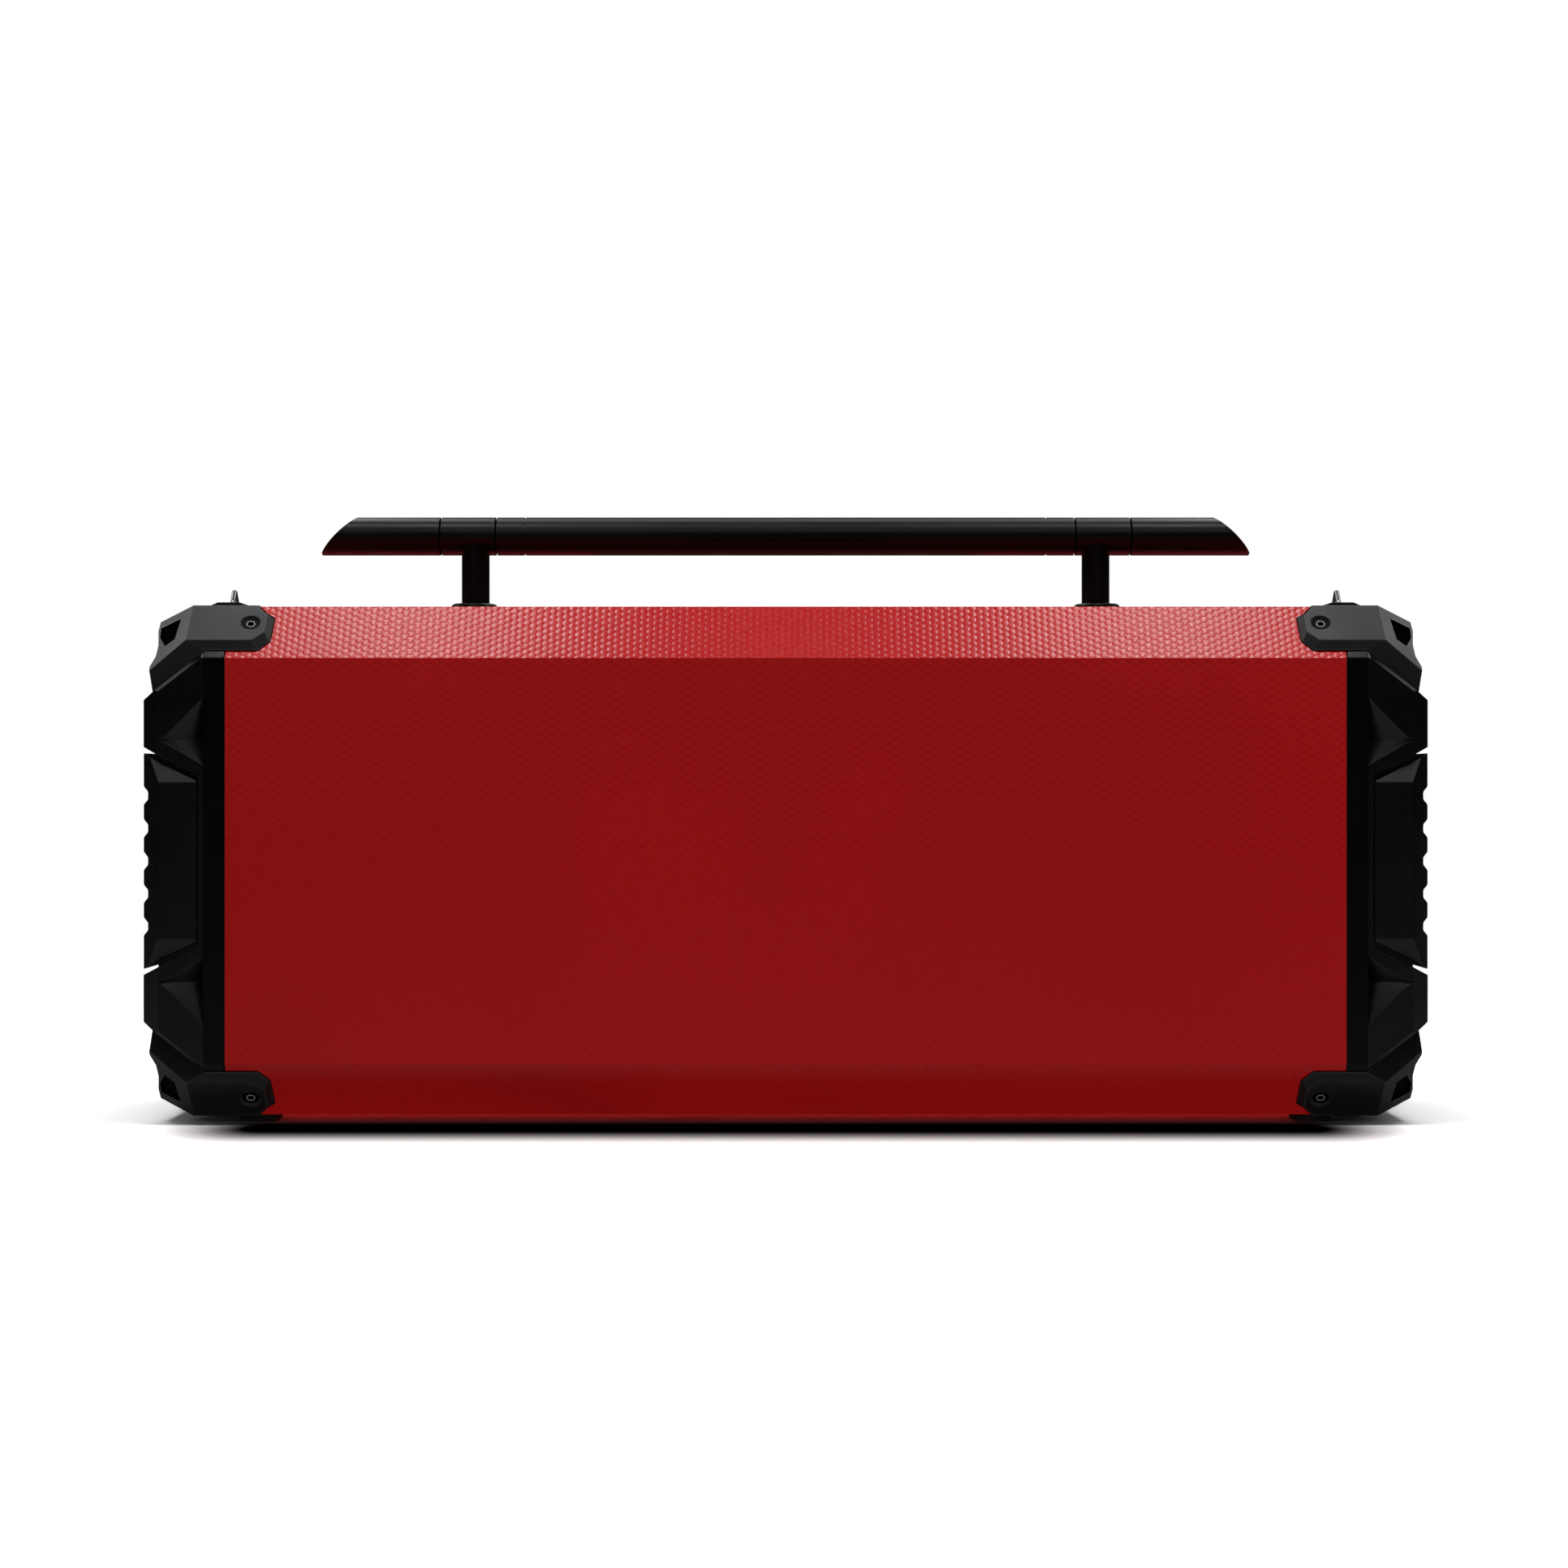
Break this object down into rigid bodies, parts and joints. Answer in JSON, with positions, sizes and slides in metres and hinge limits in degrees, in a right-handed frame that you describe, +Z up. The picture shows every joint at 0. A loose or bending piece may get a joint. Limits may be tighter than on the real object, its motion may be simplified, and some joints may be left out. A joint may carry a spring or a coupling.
{
  "type": "party speaker",
  "caption": "Portable box loudspeaker with a chamfered cabinet, ribbed end caps, corner guards and a bar handle on posts.",
  "frame": {"origin": "on the floor under the middle of the cabinet", "axes": "+X along the cabinet's length, +Y toward the plain rear face, -Y toward the grille, +Z up"},
  "size_m": [0.412, 0.1446, 0.1984],
  "materials": {
    "shell_plastic": "moulded, fine grain",
    "covering": "embossed red vinyl",
    "strip_plastic": "smooth satin",
    "cap_plastic": "satin moulded",
    "grip_rubber": "satin",
    "guard_plastic": "satin moulded",
    "screw_steel": "black oxide",
    "ring_steel": "polished",
    "lug_steel": "brushed",
    "handle_plastic": "satin",
    "handle_grip_plastic": "satin",
    "rod_aluminium": "drawn",
    "foot_rubber": "matt",
    "gasket_rubber": "foam",
    "frame_plastic": "satin",
    "grille_steel": "powder coat",
    "basket_metal": "black coat",
    "magnet_ferrite": "ground",
    "cone_paper": "pressed pulp",
    "surround_rubber": "satin",
    "tweeter_plastic": "satin",
    "dome_fabric": "coated silk",
    "panel_plastic": "satin",
    "button_rubber": "satin",
    "cover_rubber": "matt",
    "pin_steel": "drawn",
    "socket_plastic": "moulded",
    "board_laminate": "solder mask",
    "battery_wrap": "shrink wrap",
    "bracket_metal": "zinc",
    "wire_plastic": "flexible"
  },
  "bodies": {
    "cabinet": {"cabinet_shell": "shell_plastic", "front_baffle": "shell_plastic", "cabinet_covering": "covering", "end_strip_left": "strip_plastic", "end_strip_right": "strip_plastic", "end_cap_left": "cap_plastic", "end_cap_right": "cap_plastic", "side_grip_left": "grip_rubber", "side_grip_right": "grip_rubber", "corner_guard_top_left": "guard_plastic", "corner_guard_top_right": "guard_plastic", "corner_guard_bottom_left": "guard_plastic", "corner_guard_bottom_right": "guard_plastic", "guard_screws": "screw_steel", "end_cap_screws": "screw_steel", "baffle_screws": "screw_steel", "driver_screws": "screw_steel", "handle_bolts": "screw_steel", "strap_lug_left": "lug_steel", "strap_lug_right": "lug_steel", "handle_tip_left": "handle_plastic", "handle_tip_right": "handle_plastic", "handle_bracket_left": "handle_plastic", "handle_bracket_right": "handle_plastic", "handle_base_left": "handle_plastic", "handle_base_right": "handle_plastic", "handle_grip": "handle_grip_plastic", "handle_core": "rod_aluminium", "feet": "foot_rubber", "baffle_gasket": "gasket_rubber", "grille_frame": "frame_plastic", "front_grille": "grille_steel", "woofer_basket_left": "basket_metal", "woofer_basket_right": "basket_metal", "woofer_magnet_left": "magnet_ferrite", "woofer_magnet_right": "magnet_ferrite", "woofer_surround_left": "surround_rubber", "woofer_surround_right": "surround_rubber", "tweeter_housings": "tweeter_plastic", "tweeter_domes": "dome_fabric", "control_panel": "panel_plastic", "port_plate": "panel_plastic", "port_hinge_pin": "pin_steel", "port_sockets": "socket_plastic", "control_board": "board_laminate", "amplifier_board": "board_laminate", "battery_pack": "battery_wrap", "battery_bracket": "bracket_metal", "speaker_wires": "wire_plastic"},
    "strap_ring_left": {"strap_ring_left": "ring_steel"},
    "strap_ring_right": {"strap_ring_right": "ring_steel"},
    "port_cover": {"port_cover": "cover_rubber"},
    "woofer_cone_left": {"woofer_cone_left": "cone_paper"},
    "woofer_cone_right": {"woofer_cone_right": "cone_paper"},
    "button_power": {"button_power": "button_rubber"},
    "button_pairing": {"button_pairing": "button_rubber"},
    "button_volume_down": {"button_volume_down": "button_rubber"},
    "button_play": {"button_play": "button_rubber"},
    "button_volume_up": {"button_volume_up": "button_rubber"}
  },
  "joints": [
    {"name": "strap_ring_left_swing", "type": "hinge", "parent": "cabinet", "child": "strap_ring_left", "pos_m": [-0.184, 0, 0.1678], "axis": [0, 1, 0], "range_deg": [-75, 75]},
    {"name": "strap_ring_right_swing", "type": "hinge", "parent": "cabinet", "child": "strap_ring_right", "pos_m": [0.184, 0, 0.1678], "axis": [0, 1, 0], "range_deg": [-75, 75]},
    {"name": "port_cover_hinge", "type": "hinge", "parent": "cabinet", "child": "port_cover", "pos_m": [0, 0.0436, 0.1654], "axis": [-1, 0, 0], "range_deg": [0, 100]},
    {"name": "power_press", "type": "slide", "parent": "cabinet", "child": "button_power", "axis": [0, 0, -1], "range_m": [0, 0.0012], "stiffness_N_per_m": 500, "springref_m": -0.001},
    {"name": "pairing_press", "type": "slide", "parent": "cabinet", "child": "button_pairing", "axis": [0, 0, -1], "range_m": [0, 0.0012], "stiffness_N_per_m": 500, "springref_m": -0.001},
    {"name": "volume_down_press", "type": "slide", "parent": "cabinet", "child": "button_volume_down", "axis": [0, 0, -1], "range_m": [0, 0.0012], "stiffness_N_per_m": 500, "springref_m": -0.001},
    {"name": "play_press", "type": "slide", "parent": "cabinet", "child": "button_play", "axis": [0, 0, -1], "range_m": [0, 0.0012], "stiffness_N_per_m": 500, "springref_m": -0.001},
    {"name": "volume_up_press", "type": "slide", "parent": "cabinet", "child": "button_volume_up", "axis": [0, 0, -1], "range_m": [0, 0.0012], "stiffness_N_per_m": 500, "springref_m": -0.001},
    {"name": "woofer_left_stroke", "type": "slide", "parent": "cabinet", "child": "woofer_cone_left", "axis": [0, -1, 0], "range_m": [-0.0025, 0.0025], "stiffness_N_per_m": 2500},
    {"name": "woofer_right_stroke", "type": "slide", "parent": "cabinet", "child": "woofer_cone_right", "axis": [0, -1, 0], "range_m": [-0.0025, 0.0025], "stiffness_N_per_m": 2500}
  ]
}
